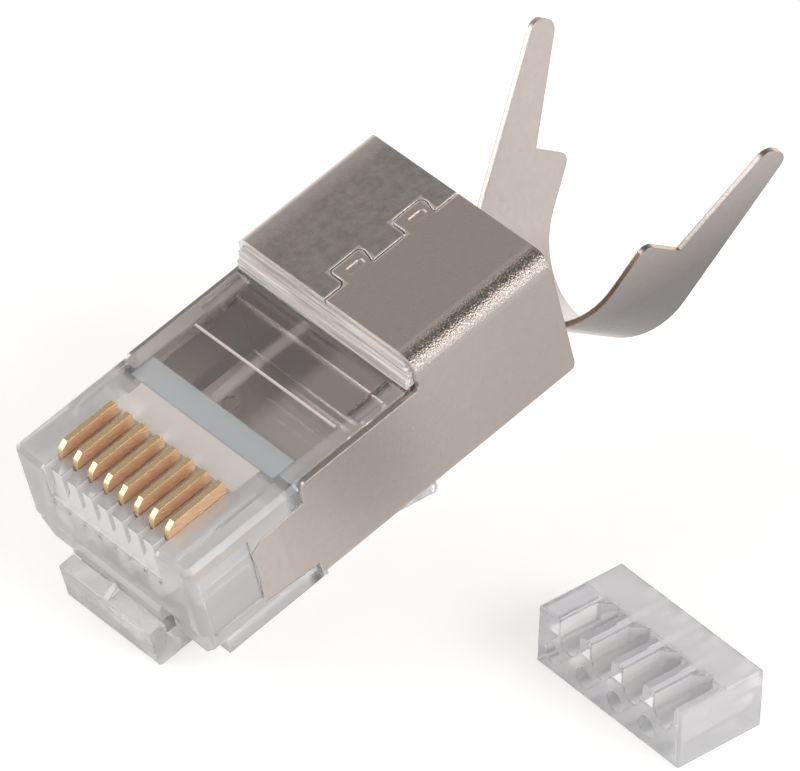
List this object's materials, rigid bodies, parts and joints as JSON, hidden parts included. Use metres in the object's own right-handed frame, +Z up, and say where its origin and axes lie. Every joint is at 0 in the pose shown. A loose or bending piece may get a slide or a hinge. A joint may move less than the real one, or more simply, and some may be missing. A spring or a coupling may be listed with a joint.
{
  "type": "rj45 modular plug",
  "caption": "Shielded modular plug with a clear housing, gold contacts, spring latch and folded cable clamp, lying on its latch beside its clear load bar.",
  "frame": {"origin": "centre of the latch's foot, on the surface that the plug rests on", "axes": "+Z up; +Y from the nose to the cable end; +X across the plug, towards the load bar"},
  "size_m": [0.0286, 0.034, 0.016],
  "materials": {
    "clear_polycarbonate": "clear moulded polycarbonate, glossy",
    "nickel_plate": "nickel plated sheet, satin, warm grey",
    "gold_plate": "gold plated, polished front edges"
  },
  "bodies": {
    "root": {"housing": "clear_polycarbonate", "shield": "nickel_plate", "load_bar": "clear_polycarbonate"},
    "latch": {"latch": "clear_polycarbonate"},
    "contact_1": {"contact_1": "gold_plate"},
    "contact_2": {"contact_2": "gold_plate"},
    "contact_3": {"contact_3": "gold_plate"},
    "contact_4": {"contact_4": "gold_plate"},
    "contact_5": {"contact_5": "gold_plate"},
    "contact_6": {"contact_6": "gold_plate"},
    "contact_7": {"contact_7": "gold_plate"},
    "contact_8": {"contact_8": "gold_plate"}
  },
  "joints": [
    {"name": "latch_flex", "type": "hinge", "parent": "root", "child": "latch", "pos_m": [0, -0.01407, 0.002], "axis": [1, 0, 0], "range_deg": [0, 16], "stiffness_Nm_per_rad": 0.25},
    {"name": "contact_1_press", "type": "slide", "parent": "root", "child": "contact_1", "axis": [0, 0.2756, -0.9613], "range_m": [0, 0.0008]},
    {"name": "contact_2_press", "type": "slide", "parent": "root", "child": "contact_2", "axis": [0, 0.2756, -0.9613], "range_m": [0, 0.0008]},
    {"name": "contact_3_press", "type": "slide", "parent": "root", "child": "contact_3", "axis": [0, 0.2756, -0.9613], "range_m": [0, 0.0008]},
    {"name": "contact_4_press", "type": "slide", "parent": "root", "child": "contact_4", "axis": [0, 0.2756, -0.9613], "range_m": [0, 0.0008]},
    {"name": "contact_5_press", "type": "slide", "parent": "root", "child": "contact_5", "axis": [0, 0.2756, -0.9613], "range_m": [0, 0.0008]},
    {"name": "contact_6_press", "type": "slide", "parent": "root", "child": "contact_6", "axis": [0, 0.2756, -0.9613], "range_m": [0, 0.0008]},
    {"name": "contact_7_press", "type": "slide", "parent": "root", "child": "contact_7", "axis": [0, 0.2756, -0.9613], "range_m": [0, 0.0008]},
    {"name": "contact_8_press", "type": "slide", "parent": "root", "child": "contact_8", "axis": [0, 0.2756, -0.9613], "range_m": [0, 0.0008]}
  ],
  "couplings": [
    {"joint": "contact_2_press", "follows": "contact_1_press", "ratio": 1},
    {"joint": "contact_3_press", "follows": "contact_1_press", "ratio": 1},
    {"joint": "contact_4_press", "follows": "contact_1_press", "ratio": 1},
    {"joint": "contact_5_press", "follows": "contact_1_press", "ratio": 1},
    {"joint": "contact_6_press", "follows": "contact_1_press", "ratio": 1},
    {"joint": "contact_7_press", "follows": "contact_1_press", "ratio": 1},
    {"joint": "contact_8_press", "follows": "contact_1_press", "ratio": 1}
  ]
}
